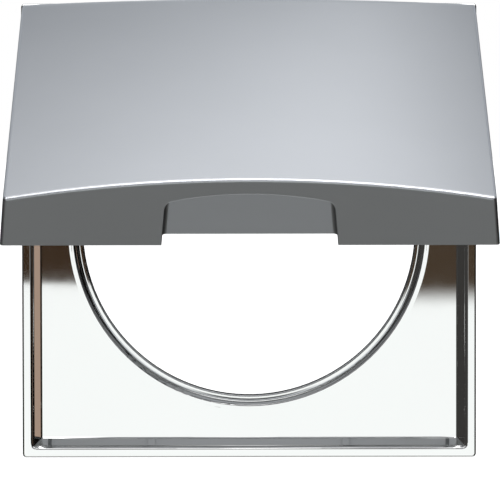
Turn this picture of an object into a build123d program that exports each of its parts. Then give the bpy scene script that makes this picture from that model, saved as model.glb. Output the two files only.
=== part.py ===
"""One-gang wiring accessory frame with a hinged cover.

A square plated frame carries a round opening for a socket insert.  A crowned cover turns on
two steel pins at the frame's top edge and is held where it is put by friction in its hinge.

Row frame: X right, Z up, -Y towards the user.  The origin is the centre of the round opening,
on the shoulder that the insert's flange bears on.  Millimetres.
"""

import os
from math import cos, radians, sin, tan

from build123d import *

# ---------------------------------------------------------------- driving dimensions

# Frame outline and depth
frame_side = 60.0
front_depth = 6.2  # from the insert shoulder forward to the rim
back_depth = 3.3  # from the insert shoulder back to the wall
outer_corner_radius = 0.5
outer_edge_radius = 0.22

# Recess inside the raised rim
recess_side = 55.2  # at the recess floor
recess_depth = 2.0
recess_draft = 26.0
recess_corner_radius = 0.25
rim_edge_radius = 0.6
recess_foot_radius = 0.25

# Round opening for the socket insert
opening_radius = 22.1
opening_land = 2.0  # length of the cylindrical wall
opening_step_radius = 22.6
opening_roll_radius = 0.85
opening_ease_radius = 8.0  # eases the floor into the rolled edge
opening_ease_angle = 4.0
opening_lip_radius = 0.2
shoulder_radius = 24.0
collar_radius = 25.4

# Hollow back of the frame
frame_wall = 1.6
floor_thickness = 2.0
web_thickness = 1.2

# Hinge axis
axis_height = 27.0  # above the opening's centre
axis_ahead_of_rim = 3.2
rest_opening = 65.5  # degrees from shut
widest_opening = 105.0

# Cover
cover_gap = 0.2  # between the shut cover's skirt and the rim
cover_overlap = 0.16  # the skirt's foot beyond the frame, on each side
cover_draft = 4.7
cover_front_lean = 3.5
cover_rear_height = 2.78  # above the hinge axis, at the cover's sides
cover_front_height = 3.2
cover_rear_crown = 0.74  # extra height in the middle of the width
cover_front_crown = 2.5
cover_edge_radius = 0.45
cover_wall = 1.4
cover_roof = 1.6
cover_rib_place = 14.0
cover_rib_thickness = 1.0
cover_rib_depth = 1.4

# Thumb recess in the cover's front edge
thumb_width = 21.3  # at the foot
thumb_side_slope = 5.0
thumb_depth = 3.75
thumb_roof_height = 3.6  # above the hinge axis, in the middle
thumb_roof_sagitta = 1.1
thumb_draft = 1.0
thumb_panel_lean = 9.0
thumb_corner_radius = 1.2
thumb_inner_radius = 0.5  # round the panel at the back of the recess
thumb_edge_radius = 0.12  # round its outline in the front face

# Hinge knuckles
trough_radius = 3.9
trough_length = 54.4
knuckle_block_depth = 4.2  # ahead of the hinge axis
knuckle_inner_end = 20.6
barrel_bore_radius = 1.9
barrel_sweep = 150.0  # degrees round the hinge axis, from the top face to the rear and down
lug_centre = 23.5
lug_thickness = 3.0
lug_radius = 1.95
lug_neck_width = 3.2
slot_clearance = 0.25
slot_outer_end = 26.0

# Hinge pins, bushes and spring washers
pin_radius = 0.8
pin_length = 7.6
pin_chamfer = 0.15
running_clearance = 0.03
bush_radius = 1.4
bush_flange_radius = 1.75
bush_flange_thickness = 0.4
washer_radius = 1.7
washer_bore_radius = 0.87
washer_thickness = 0.33
washer_dish = 0.23

# ---------------------------------------------------------------- places worked out from them

half = frame_side / 2
rim_y = -front_depth
floor_y = rim_y + recess_depth
hinge_y = rim_y - axis_ahead_of_rim
full_depth = front_depth + back_depth
hollow_depth = full_depth - recess_depth - floor_thickness
cover_length = axis_height + half  # from the hinge axis to the cover's front edge
cover_bottom = cover_gap - axis_ahead_of_rim  # foot of the skirt, from the hinge axis
cover_half = half + cover_overlap
side_lean = tan(radians(cover_draft))
front_lean = tan(radians(cover_front_lean))
open_angle = radians(rest_opening)

floor_plane = Plane(origin=(0, floor_y, 0), x_dir=(1, 0, 0), z_dir=(0, -1, 0))
wall_plane = Plane(origin=(0, back_depth, 0), x_dir=(1, 0, 0), z_dir=(0, -1, 0))
side_plane = Plane(origin=(0, 0, 0), x_dir=(0, 1, 0), z_dir=(1, 0, 0))
hinge_axis = Axis((0, hinge_y, axis_height), (1, 0, 0))

# The cover is drawn in its own axes, where it stands open: x across, y from the hinge towards
# the rear, z out of its top face.
cover_plane = Plane(
    origin=(0, hinge_y, axis_height),
    x_dir=(1, 0, 0),
    z_dir=(0, -cos(open_angle), sin(open_angle)),
)


def hinge_plane(x):
    """A plane across the hinge axis at x, in the frame's axes: its x is Y and its y is Z."""
    return Plane(origin=(x, hinge_y, axis_height), x_dir=(0, 1, 0), z_dir=(1, 0, 0))


def cover_side_plane(x):
    """A plane along the cover at x: its x is the cover's y and its y is the cover's z."""
    return Plane(
        origin=cover_plane.from_local_coords((x, 0, 0)),
        x_dir=cover_plane.y_dir,
        z_dir=(1, 0, 0),
    )


def cover_cross_plane(y, lean=0.0, inward=False):
    """A plane across the cover at y, its y out of the top face, leaning back by lean degrees.

    It faces the cover's front edge, or the rear when inward is true.
    """
    facing = -1 if inward else 1
    tilt = radians(lean)
    normal = cover_plane.z_dir * sin(tilt) - cover_plane.y_dir * cos(tilt)
    return Plane(
        origin=cover_plane.from_local_coords((0, y, 0)),
        x_dir=(facing, 0, 0),
        z_dir=normal * facing,
    )


def lies_on(plane, edge):
    """Whether all of an edge lies on a plane, above the cover's foot."""
    places = [plane.to_local_coords(edge @ share) for share in (0, 0.5, 1)]
    return all(abs(place.Z) < 0.001 for place in places) and places[1].Y > cover_bottom + 0.1


def cover_section(plane, y, side_inset=0.0, roof_inset=0.0, foot_drop=0.0):
    """The cover's arched section at y, or its hollow's when insets are given."""
    share = -y / cover_length
    side_height = cover_rear_height + (cover_front_height - cover_rear_height) * share
    crown = cover_rear_crown + (cover_front_crown - cover_rear_crown) * share
    foot = cover_bottom - foot_drop
    top = side_height - roof_inset
    foot_x = cover_half - side_inset + side_lean * foot_drop
    top_x = cover_half - side_inset - side_lean * (top - cover_bottom)
    with BuildSketch(plane) as section:
        with BuildLine():
            Polyline((top_x, top), (foot_x, foot), (-foot_x, foot), (-top_x, top))
            ThreePointArc((-top_x, top), (0, top + crown), (top_x, top))
        make_face()
    return section.sketch


def thumb_section(plane, inset):
    """The thumb recess's outline: straight sides under a shallow arch, open at the foot."""
    foot = cover_bottom - 1
    shoulder = thumb_roof_height - thumb_roof_sagitta - inset
    slope = tan(radians(thumb_side_slope))
    foot_x = thumb_width / 2 - inset + slope * (cover_bottom - foot)
    top_x = thumb_width / 2 - inset - slope * (shoulder - cover_bottom)
    with BuildSketch(plane) as section:
        with BuildLine():
            Polyline((-top_x, shoulder), (-foot_x, foot), (foot_x, foot), (top_x, shoulder))
            ThreePointArc((top_x, shoulder), (0, thumb_roof_height - inset), (-top_x, shoulder))
        make_face()
        upper_corners = section.vertices().sort_by(Axis.Y)[-2:]
        fillet(upper_corners, radius=thumb_corner_radius)
    return section.sketch


# ---------------------------------------------------------------- base frame

with BuildPart() as base_frame:
    with BuildSketch(wall_plane):
        RectangleRounded(frame_side, frame_side, outer_corner_radius)
    extrude(amount=full_depth)
    front_outline = base_frame.faces().sort_by(Axis.Y)[0].edges()
    fillet(front_outline, radius=outer_edge_radius)

    # Recess with drafted walls, a rolled rim and a small fillet at its foot
    rim_side = recess_side + 2 * recess_depth * tan(radians(recess_draft))
    with BuildSketch(floor_plane):
        RectangleRounded(recess_side, recess_side, recess_corner_radius)
    with BuildSketch(floor_plane.offset(recess_depth)):
        RectangleRounded(rim_side, rim_side, recess_corner_radius)
    loft(ruled=True, mode=Mode.SUBTRACT)
    rim_inside = base_frame.edges().group_by(Axis.Y)[0].filter_by(
        lambda edge: max(abs(edge.center().X), abs(edge.center().Z)) < half - 1
    )
    fillet(rim_inside, radius=rim_edge_radius)
    foot_edges = base_frame.edges().filter_by(
        lambda edge: abs(edge.center().Y - floor_y) < 0.01
    )
    fillet(foot_edges, radius=recess_foot_radius)

    # Round opening: the floor eases into a rolled edge, then come a narrow step, the cylindrical
    # land and the shoulder for the insert
    ease = radians(opening_ease_angle)
    ease_end = floor_y + opening_ease_radius * (1 - cos(ease))
    roll_outer = opening_step_radius + opening_roll_radius * (1 - sin(ease))
    roll_end = ease_end + opening_roll_radius * cos(ease)
    ease_outer = roll_outer + opening_ease_radius * sin(ease)
    lip_outer = opening_radius + opening_lip_radius
    land_start = -opening_land
    lip_start = land_start - opening_lip_radius
    with BuildSketch(side_plane):
        with BuildLine():
            Polyline(
                (back_depth + 1, 0),
                (floor_y - 1, 0),
                (floor_y - 1, ease_outer),
                (floor_y, ease_outer),
            )
            RadiusArc((floor_y, ease_outer), (ease_end, roll_outer), -opening_ease_radius)
            RadiusArc((ease_end, roll_outer), (roll_end, opening_step_radius), -opening_roll_radius)
            Polyline(
                (roll_end, opening_step_radius),
                (lip_start, opening_step_radius),
                (lip_start, lip_outer),
            )
            RadiusArc((lip_start, lip_outer), (land_start, opening_radius), -opening_lip_radius)
            Polyline(
                (land_start, opening_radius),
                (0, opening_radius),
                (0, shoulder_radius),
                (back_depth + 1, shoulder_radius),
                (back_depth + 1, 0),
            )
        make_face()
    revolve(axis=Axis.Y, mode=Mode.SUBTRACT)

    # Hollow back, divided by four webs between the collar and the outer wall
    with BuildSketch(wall_plane):
        Rectangle(frame_side - 2 * frame_wall, frame_side - 2 * frame_wall)
        Circle(collar_radius, mode=Mode.SUBTRACT)
        Rectangle(frame_side, web_thickness, mode=Mode.SUBTRACT)
        Rectangle(web_thickness, frame_side, mode=Mode.SUBTRACT)
    extrude(amount=hollow_depth, mode=Mode.SUBTRACT)

    # Shallow trough in the top rim, where the cover's barrel turns
    with BuildSketch(hinge_plane(0)):
        Circle(trough_radius)
    extrude(amount=trough_length / 2, both=True, mode=Mode.SUBTRACT)

    # Hinge lugs, rising from the recess floor, bored for their bushes
    for sign in (-1, 1):
        lug_face = sign * lug_centre - lug_thickness / 2
        with BuildSketch(hinge_plane(lug_face)):
            Circle(lug_radius)
            Rectangle(
                floor_y - hinge_y,
                lug_neck_width,
                align=(Align.MIN, Align.CENTER),
            )
        extrude(amount=lug_thickness)
        with BuildSketch(hinge_plane(lug_face)):
            Circle(bush_radius)
        extrude(amount=lug_thickness, mode=Mode.SUBTRACT)
base_frame.part.label = "base_frame"

# ---------------------------------------------------------------- cover

front_y = -cover_length - cover_bottom * front_lean
front_plane = cover_cross_plane(front_y, lean=cover_front_lean)
inward_plane = cover_cross_plane(front_y, lean=cover_front_lean, inward=True)
panel_plane = cover_cross_plane(front_y + thumb_depth, lean=thumb_panel_lean, inward=True)
hollow_front_y = front_y + cover_wall
slot_radius = lug_radius + slot_clearance
slot_inner_end = lug_centre - lug_thickness / 2 - slot_clearance

with BuildPart() as cover:
    # Crowned body, nearly flat over the hinge and arched at the front edge
    loft(
        sections=[
            cover_section(cover_cross_plane(0), 0),
            cover_section(front_plane, -cover_length),
        ],
        ruled=True,
    )

    # Barrel: the rear section's upper part, turned about the hinge axis
    rear_x = cover_half - side_lean * (cover_rear_height - cover_bottom)
    middle_x = cover_half + side_lean * cover_bottom
    with BuildSketch(cover_cross_plane(0)):
        with BuildLine():
            Polyline(
                (rear_x, cover_rear_height),
                (middle_x, 0),
                (-middle_x, 0),
                (-rear_x, cover_rear_height),
            )
            ThreePointArc(
                (-rear_x, cover_rear_height),
                (0, cover_rear_height + cover_rear_crown),
                (rear_x, cover_rear_height),
            )
        make_face()
    revolve(axis=hinge_axis, revolution_arc=-barrel_sweep)

    # Softened edges round the top face, down the front corners and round the barrel's ends
    front_face = cover.faces().sort_by(Axis(cover_plane.origin, -cover_plane.y_dir))[-1]
    front_edges = front_face.edges().filter_by(
        lambda edge: cover_plane.to_local_coords(edge.center()).Z > cover_bottom + 0.1
    )
    side_faces = cover.faces().filter_by(lambda face: abs(face.normal_at().X) > 0.95)
    rim_edges = side_faces.edges().filter_by(
        lambda edge: edge.length > trough_radius
        and cover_plane.to_local_coords(edge.center()).Z > cover_bottom + 1
    )
    fillet(ShapeList({*front_edges, *rim_edges}), radius=cover_edge_radius)

    # Hollow underside: the long pocket, then its run into the barrel between the knuckles
    loft(
        sections=[
            cover_section(
                cover_cross_plane(-knuckle_block_depth),
                -knuckle_block_depth,
                cover_wall,
                cover_roof,
                foot_drop=1,
            ),
            cover_section(
                cover_cross_plane(hollow_front_y, lean=cover_front_lean),
                -cover_length,
                cover_wall,
                cover_roof,
                foot_drop=1,
            ),
        ],
        ruled=True,
        mode=Mode.SUBTRACT,
    )
    with BuildSketch(cover_side_plane(-knuckle_inner_end)):
        with BuildLine():
            Polyline(
                (barrel_bore_radius, 0),
                (barrel_bore_radius, cover_bottom - 1),
                (-knuckle_block_depth - 1, cover_bottom - 1),
                (-knuckle_block_depth - 1, barrel_bore_radius),
                (0, barrel_bore_radius),
            )
            RadiusArc((0, barrel_bore_radius), (barrel_bore_radius, 0), barrel_bore_radius)
        make_face()
    extrude(amount=2 * knuckle_inner_end, mode=Mode.SUBTRACT)

    # Stiffening ribs under the roof, which deepen with it towards the front
    rib_rear = -knuckle_block_depth
    rib_front = hollow_front_y - cover_wall / 2
    rib_middle = cover_rib_place / half
    rear_ceiling = cover_rear_height + cover_rear_crown * (1 - rib_middle**2) - cover_roof
    front_ceiling = cover_front_height + cover_front_crown * (1 - rib_middle**2) - cover_roof
    for sign in (-1, 1):
        with BuildSketch(cover_side_plane(sign * cover_rib_place - cover_rib_thickness / 2)):
            with BuildLine():
                Polyline(
                    (rib_rear, rear_ceiling - cover_rib_depth),
                    (rib_front, front_ceiling - cover_rib_depth),
                    (rib_front, front_ceiling + cover_roof / 2),
                    (rib_rear, rear_ceiling + cover_roof / 2),
                    close=True,
                )
            make_face()
        extrude(amount=cover_rib_thickness)

    # Thumb recess: a housing inside the front wall, then the pocket cut into it
    housing_half = thumb_width / 2 + cover_wall
    housing_top = thumb_roof_height + cover_roof / 2
    with BuildSketch(inward_plane):
        with Locations((0, cover_bottom)):
            Rectangle(
                2 * housing_half,
                housing_top - cover_bottom,
                align=(Align.CENTER, Align.MIN),
            )
    housing_depth = thumb_depth + cover_wall + housing_top * tan(radians(thumb_panel_lean))
    extrude(amount=housing_depth)
    thumb_taper = thumb_depth * tan(radians(thumb_draft))
    with BuildPart(mode=Mode.SUBTRACT) as pocket:
        loft(
            sections=[
                thumb_section(inward_plane, 0),
                thumb_section(panel_plane, thumb_taper),
            ],
            ruled=True,
        )
        fillet(
            pocket.edges().filter_by(lambda edge: lies_on(panel_plane, edge)),
            radius=thumb_inner_radius,
        )
    thumb_outline = cover.edges().filter_by(
        lambda edge: lies_on(inward_plane, edge) and abs(edge.center().X) < thumb_width / 2
    )
    fillet(thumb_outline, radius=thumb_edge_radius)

    # Slots where the frame's lugs stand, open towards the rear for the lugs' necks as it turns
    swing = radians(widest_opening - 90)
    reach = 2 * trough_radius
    neck_top = (-slot_radius * sin(swing), slot_radius * cos(swing))
    neck_exit = (neck_top[0] + reach * cos(swing), neck_top[1] + reach * sin(swing))
    for sign in (-1, 1):
        slot_start = slot_inner_end if sign > 0 else -slot_outer_end
        with BuildSketch(cover_side_plane(slot_start)):
            with BuildLine():
                Polyline(
                    neck_top,
                    neck_exit,
                    (reach, -reach),
                    (-slot_radius, -reach),
                    (-slot_radius, 0),
                )
                RadiusArc((-slot_radius, 0), neck_top, slot_radius)
            make_face()
        extrude(amount=slot_outer_end - slot_inner_end, mode=Mode.SUBTRACT)

    # Bores for the pins, which are pushed outwards from the hollow between the knuckles
    for sign in (-1, 1):
        bore_start = knuckle_inner_end if sign > 0 else -knuckle_inner_end - pin_length
        with BuildSketch(cover_side_plane(bore_start)):
            Circle(pin_radius)
        extrude(amount=pin_length, mode=Mode.SUBTRACT)
cover.part.label = "cover"

# ---------------------------------------------------------------- hinge pieces, one set a side

hinge_pieces = []
for side, sign in (("left", -1), ("right", 1)):
    outward = (sign, 0, 0)

    with BuildPart() as hinge_pin:
        pin_start = (sign * knuckle_inner_end, hinge_y, axis_height)
        with BuildSketch(Plane(origin=pin_start, x_dir=(0, 1, 0), z_dir=outward)):
            Circle(pin_radius)
        extrude(amount=pin_length)
        chamfer(hinge_pin.edges().filter_by(GeomType.CIRCLE), length=pin_chamfer)
    hinge_pin.part.label = f"hinge_pin_{side}"
    hinge_pieces.append(hinge_pin.part)

    with BuildPart() as hinge_bush:
        bush_start = (sign * (lug_centre - lug_thickness / 2), hinge_y, axis_height)
        flange_start = (sign * (lug_centre + lug_thickness / 2), hinge_y, axis_height)
        with BuildSketch(Plane(origin=bush_start, x_dir=(0, 1, 0), z_dir=outward)):
            Circle(bush_radius)
            Circle(pin_radius + running_clearance, mode=Mode.SUBTRACT)
        extrude(amount=lug_thickness)
        with BuildSketch(Plane(origin=flange_start, x_dir=(0, 1, 0), z_dir=outward)):
            Circle(bush_flange_radius)
            Circle(pin_radius + running_clearance, mode=Mode.SUBTRACT)
        extrude(amount=bush_flange_thickness)
    hinge_bush.part.label = f"hinge_bush_{side}"
    hinge_pieces.append(hinge_bush.part)

    # A dished spring washer, pressing the cover's knuckle away from the bush
    with BuildPart() as spring_washer:
        dish_start = lug_centre + lug_thickness / 2 + bush_flange_thickness
        washer_plane = Plane(
            origin=(0, hinge_y, axis_height),
            x_dir=outward,
            z_dir=(0, -sign, 0),
        )
        with BuildSketch(washer_plane):
            with BuildLine():
                Polyline(
                    (dish_start, washer_radius),
                    (dish_start + washer_thickness, washer_radius),
                    (dish_start + washer_thickness + washer_dish, washer_bore_radius),
                    (dish_start + washer_dish, washer_bore_radius),
                    close=True,
                )
            make_face()
        revolve(axis=hinge_axis)
    spring_washer.part.label = f"spring_washer_{side}"
    hinge_pieces.append(spring_washer.part)

# ---------------------------------------------------------------- files

os.makedirs("parts", exist_ok=True)
for piece in (base_frame.part, cover.part, *hinge_pieces):
    export_step(piece, f"parts/{piece.label}.step")
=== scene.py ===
"""Studio scene for the socket frame with its hinged cover: finishes, surroundings and camera.

The CAD pieces are shown as packed. This script gives them their plated, ground and moulded
finishes, and sets up the surroundings that the chrome mirrors.
"""

import math

import bpy
from mathutils import Matrix, Vector

MM = 0.001
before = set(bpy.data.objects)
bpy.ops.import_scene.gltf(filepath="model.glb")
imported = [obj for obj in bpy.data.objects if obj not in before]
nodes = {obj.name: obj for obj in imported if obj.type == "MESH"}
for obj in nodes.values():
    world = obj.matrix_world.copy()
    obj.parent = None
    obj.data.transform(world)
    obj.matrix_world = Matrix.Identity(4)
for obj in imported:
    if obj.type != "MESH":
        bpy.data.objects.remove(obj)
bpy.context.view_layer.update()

# ------------------------------------------------------------------ places and sizes

rim_depth = 6.2 * MM  # from the origin forward to the frame's rim
camera_distance = 613.92 * MM  # ahead of the rim
camera_side = -1.076 * MM
camera_height = 27.0 * MM  # the height of the hinge
camera_lens = 335.06  # millimetres, on a sensor 36 mm wide
camera_down = 2.754  # degrees, as the next two
camera_turn = -0.112
camera_roll = -0.081

# The panel and the floor, in metres
panel_size = (0.125, 0.211)
panel_place = (0.0088, -0.053, 0.078)
panel_target = (0.0, -0.035, 0.018)
panel_radiance = 0.93  # beside the white of the cards, which is 1

floor_height = -0.22
floor_side = 16.0


# ------------------------------------------------------------------ node helpers


class Nodes:
    """A node tree that is built by name: add a node, set its inputs, link sockets to them."""

    def __init__(self, tree):
        self.tree = tree
        tree.nodes.clear()

    def add(self, kind, inputs=None, **settings):
        """A new node. An input that is a socket is linked, and any other value is set."""
        node = self.tree.nodes.new("ShaderNode" + kind)
        for name, value in settings.items():
            setattr(node, name, value)
        for name, value in (inputs or {}).items():
            if isinstance(value, bpy.types.NodeSocket):
                self.tree.links.new(value, node.inputs[name])
            else:
                node.inputs[name].default_value = value
        return node

    def math(self, operation, first, second=0.0, third=0.0):
        node = self.add("Math", {0: first, 1: second, 2: third}, operation=operation)
        return node.outputs[0]

    def spread(self, value, low, high):
        """A value from 0 to 1, mapped to run from low to high."""
        node = self.add("MapRange", {"Value": value, "To Min": low, "To Max": high})
        return node.outputs["Result"]

    def noise(self, coordinates, scale, detail=2.0, stretch=(1, 1, 1)):
        """Noise over coordinates in metres, with scale in features a metre along each axis."""
        mapping = self.add("Mapping", {"Vector": coordinates, "Scale": stretch})
        node = self.add(
            "TexNoise",
            {"Vector": mapping.outputs["Vector"], "Scale": scale, "Detail": detail},
        )
        return node.outputs["Fac"]

    def bump(self, height, distance, normal=None):
        inputs = {"Height": height, "Distance": distance, "Strength": 1.0}
        if normal is not None:
            inputs["Normal"] = normal
        return self.add("Bump", inputs).outputs["Normal"]

    def between(self, fac, first, second):
        """A colour from first to second, as fac goes from 0 to 1."""
        node = self.add("Mix", data_type="RGBA")
        inputs = ((node.inputs[0], fac), (node.inputs[6], first), (node.inputs[7], second))
        for socket, value in inputs:
            if isinstance(value, bpy.types.NodeSocket):
                self.tree.links.new(value, socket)
            else:
                socket.default_value = value if isinstance(value, float) else (*value, 1.0)
        return node.outputs[2]


def new_material(name):
    """A material, its tree, its Principled shader and the object's own coordinates."""
    material = bpy.data.materials.new(name)
    material.use_nodes = True
    tree = Nodes(material.node_tree)
    shader = tree.add("BsdfPrincipled")
    tree.add("OutputMaterial", {"Surface": shader.outputs["BSDF"]})
    place = tree.add("TexCoord").outputs["Object"]
    return material, tree, shader, place


def link(tree, shader, name, socket):
    """Drive one of a shader's inputs with a socket."""
    tree.tree.links.new(socket, shader.inputs[name])


# ------------------------------------------------------------------ finishes


def polished_chrome():
    """Bright chrome plate over moulded plastic: a mirror with the moulding's faint waviness."""
    material, tree, shader, place = new_material("polished_chrome")
    shader.inputs["Metallic"].default_value = 1.0
    cloud = tree.noise(place, 55, detail=3)
    link(tree, shader, "Base Color", tree.between(cloud, (0.895, 0.90, 0.895), (0.925, 0.93, 0.925)))
    haze = tree.noise(place, 420, detail=4)
    link(tree, shader, "Roughness", tree.spread(haze, 0.012, 0.026))
    waviness = tree.bump(tree.noise(place, 45, detail=1), 5e-6)
    peel = tree.bump(tree.noise(place, 1400, detail=2), 2.5e-8, waviness)
    link(tree, shader, "Normal", peel)
    return material


def satin_chrome():
    """Satin chrome plate: a fine, even pearl grain that blurs what it mirrors."""
    material, tree, shader, place = new_material("satin_chrome")
    shader.inputs["Metallic"].default_value = 1.0
    cloud = tree.noise(place, 70, detail=3)
    link(tree, shader, "Base Color", tree.between(cloud, (0.562, 0.580, 0.611), (0.592, 0.610, 0.643)))
    grain = tree.noise(place, 9000, detail=2)
    link(tree, shader, "Roughness", tree.spread(grain, 0.30, 0.38))
    link(tree, shader, "Normal", tree.bump(grain, 1.2e-6))
    return material


def ground_steel():
    """Bright steel, ground round its axis, which runs along X."""
    material, tree, shader, place = new_material("pin_steel")
    shader.inputs["Metallic"].default_value = 1.0
    rings = tree.noise(place, 100, detail=3, stretch=(220, 4, 4))
    link(tree, shader, "Base Color", tree.between(rings, (0.52, 0.51, 0.50), (0.63, 0.62, 0.61)))
    link(tree, shader, "Roughness", tree.spread(rings, 0.18, 0.34))
    link(tree, shader, "Normal", tree.bump(rings, 1.5e-6))
    return material


def acetal():
    """Natural moulded acetal with a faint mottle and a waxy sheen."""
    material, tree, shader, place = new_material("bush_plastic")
    shader.inputs["IOR"].default_value = 1.48
    mottle = tree.noise(place, 2600, detail=4)
    link(tree, shader, "Base Color", tree.between(mottle, (0.80, 0.79, 0.75), (0.87, 0.86, 0.82)))
    link(tree, shader, "Roughness", tree.spread(mottle, 0.38, 0.52))
    link(tree, shader, "Normal", tree.bump(mottle, 4e-6))
    return material


def spring_steel():
    """Hardened strip steel with a straw tint and the fine lines of its rolling."""
    material, tree, shader, place = new_material("spring_steel")
    shader.inputs["Metallic"].default_value = 1.0
    lines = tree.noise(place, 100, detail=3, stretch=(10, 10, 160))
    link(tree, shader, "Base Color", tree.between(lines, (0.42, 0.38, 0.33), (0.55, 0.52, 0.47)))
    link(tree, shader, "Roughness", tree.spread(lines, 0.24, 0.38))
    link(tree, shader, "Normal", tree.bump(lines, 1.5e-6))
    return material


finishes = {
    "base_frame": polished_chrome(),
    "cover": satin_chrome(),
    "hinge_pin": ground_steel(),
    "hinge_bush": acetal(),
    "spring_washer": spring_steel(),
}
for name, node in nodes.items():
    finish = next(finishes[stem] for stem in finishes if name.startswith(stem))
    for material_slot in node.material_slots:
        material_slot.material = finish


# ------------------------------------------------------------------ surroundings

# Soft-edged cards on the sphere around the object. Azimuth is from the -Y direction towards
# +X and elevation is from the horizon, in degrees. Each card lies over those before it.
room_colour = (0.004, 0.0035, 0.003)
cards = (
    # azimuths, elevations, softness, colour
    ((-180, 180), (44, 95), 14, (0.12, 0.125, 0.13)),  # ceiling
    ((-170, -10), (-90, 44), 20, (0.045, 0.043, 0.041)),  # left side of the room
    ((-26, 26), (6, 50), 14, (0.23, 0.23, 0.24)),  # wall beyond the camera
    ((-180, 180), (-90, -36), 10, (0.213, 0.214, 0.200)),  # bench under the object
    ((-180, 180), (-95, -68), 10, (0.71, 0.71, 0.71)),  # sheet of paper on the bench
    ((120, 240), (14, 46), 10, (0.58, 0.61, 0.64)),  # wall behind the object
    ((-52, 52), (24, 66), 8, (2.2, 2.2, 2.2)),  # lamp above the camera
    ((52.8, 56.2), (-20, 8), 0.6, (0.43, 0.31, 0.24)),  # wooden post at the right
    ((-10, 10), (-30, 4), 1.0, (1.02, 1.045, 1.035)),  # white card round the camera
    ((-4.5, -1.6), (-3.15, -2.3), 0.04, (0.042, 0.024, 0.013)),  # dark tripod head at the left
    ((1.6, 4.5), (-3.33, -2.3), 0.32, (0.060, 0.041, 0.026)),  # and at the right
)


def surroundings():
    """The world: cards for reflections and light, and plain white behind the object."""
    world = bpy.data.worlds.new("studio")
    world.use_nodes = True
    tree = Nodes(world.node_tree)
    direction = tree.add("SeparateXYZ", {0: tree.add("TexCoord").outputs["Generated"]})
    x, y, z = direction.outputs
    degree = 180 / math.pi
    azimuth = tree.math("MULTIPLY", tree.math("ARCTAN2", x, tree.math("MULTIPLY", y, -1.0)), degree)
    elevation = tree.math("MULTIPLY", tree.math("ARCSINE", z), degree)

    def inside(angle, middle, half_width, softness):
        """1 within half_width of the middle, falling to 0 over the softness."""
        away = tree.math("PINGPONG", tree.math("SUBTRACT", angle, middle), 180.0)
        node = tree.add(
            "MapRange",
            {
                "Value": away,
                "From Min": half_width - softness / 2,
                "From Max": half_width + softness / 2,
                "To Min": 1.0,
                "To Max": 0.0,
            },
            interpolation_type="SMOOTHSTEP",
        )
        return node.outputs["Result"]

    colour = tree.between(0.0, room_colour, room_colour)
    for azimuths, elevations, softness, card_colour in cards:
        across = inside(azimuth, sum(azimuths) / 2, (azimuths[1] - azimuths[0]) / 2, softness)
        up = inside(elevation, sum(elevations) / 2, (elevations[1] - elevations[0]) / 2, softness)
        colour = tree.between(tree.math("MULTIPLY", across, up), colour, card_colour)
    seen = tree.add("LightPath").outputs["Is Camera Ray"]
    colour = tree.between(seen, colour, (1.0, 1.0, 1.0))
    background = tree.add("Background", {"Color": colour})
    tree.add("OutputWorld", {"Surface": background.outputs[0]})
    return world


def floor():
    """A plain pale floor, far enough below the object to carry no shadow of it."""
    half = floor_side / 2
    corners = [(-half, -half), (half, -half), (half, half), (-half, half)]
    mesh = bpy.data.meshes.new("floor")
    mesh.from_pydata([(x, y, floor_height) for x, y in corners], [], [(0, 1, 2, 3)])
    plane = bpy.data.objects.new("floor", mesh)
    bpy.context.scene.collection.objects.link(plane)
    material, tree, shader, place = new_material("floor_paper")
    tooth = tree.noise(place, 300, detail=2)
    link(tree, shader, "Base Color", tree.between(tooth, (0.86, 0.86, 0.855), (0.9, 0.9, 0.895)))
    shader.inputs["Roughness"].default_value = 0.9
    shader.inputs["Emission Color"].default_value = (1, 1, 1, 1)
    shader.inputs["Emission Strength"].default_value = 0.75
    mesh.materials.append(material)
    plane.visible_glossy = False


def overhead_panel():
    """A soft box close above the cover, whose falloff shades the satin plate."""
    data = bpy.data.lights.new("overhead_panel", "AREA")
    data.shape = "RECTANGLE"
    data.size, data.size_y = panel_size
    data.energy = panel_radiance * math.pi * panel_size[0] * panel_size[1]
    lamp = bpy.data.objects.new("overhead_panel", data)
    bpy.context.scene.collection.objects.link(lamp)
    place = Vector(panel_place)
    lamp.location = place
    lamp.rotation_euler = (Vector(panel_target) - place).to_track_quat("-Z", "Y").to_euler()


def camera():
    """The camera, level with the hinge and looking slightly down."""
    data = bpy.data.cameras.new("camera")
    data.lens = camera_lens
    viewpoint = bpy.data.objects.new("camera", data)
    bpy.context.scene.collection.objects.link(viewpoint)
    turn = Matrix.Rotation(math.radians(camera_turn), 4, "Z")
    tilt = Matrix.Rotation(math.radians(90 - camera_down), 4, "X")
    roll = Matrix.Rotation(math.radians(camera_roll), 4, "Z")
    place = Matrix.Translation((camera_side, -rim_depth - camera_distance, camera_height))
    viewpoint.matrix_world = place @ turn @ tilt @ roll
    bpy.context.scene.camera = viewpoint


scene = bpy.context.scene
scene.world = surroundings()
scene.view_settings.view_transform = "Standard"
floor()
overhead_panel()
camera()
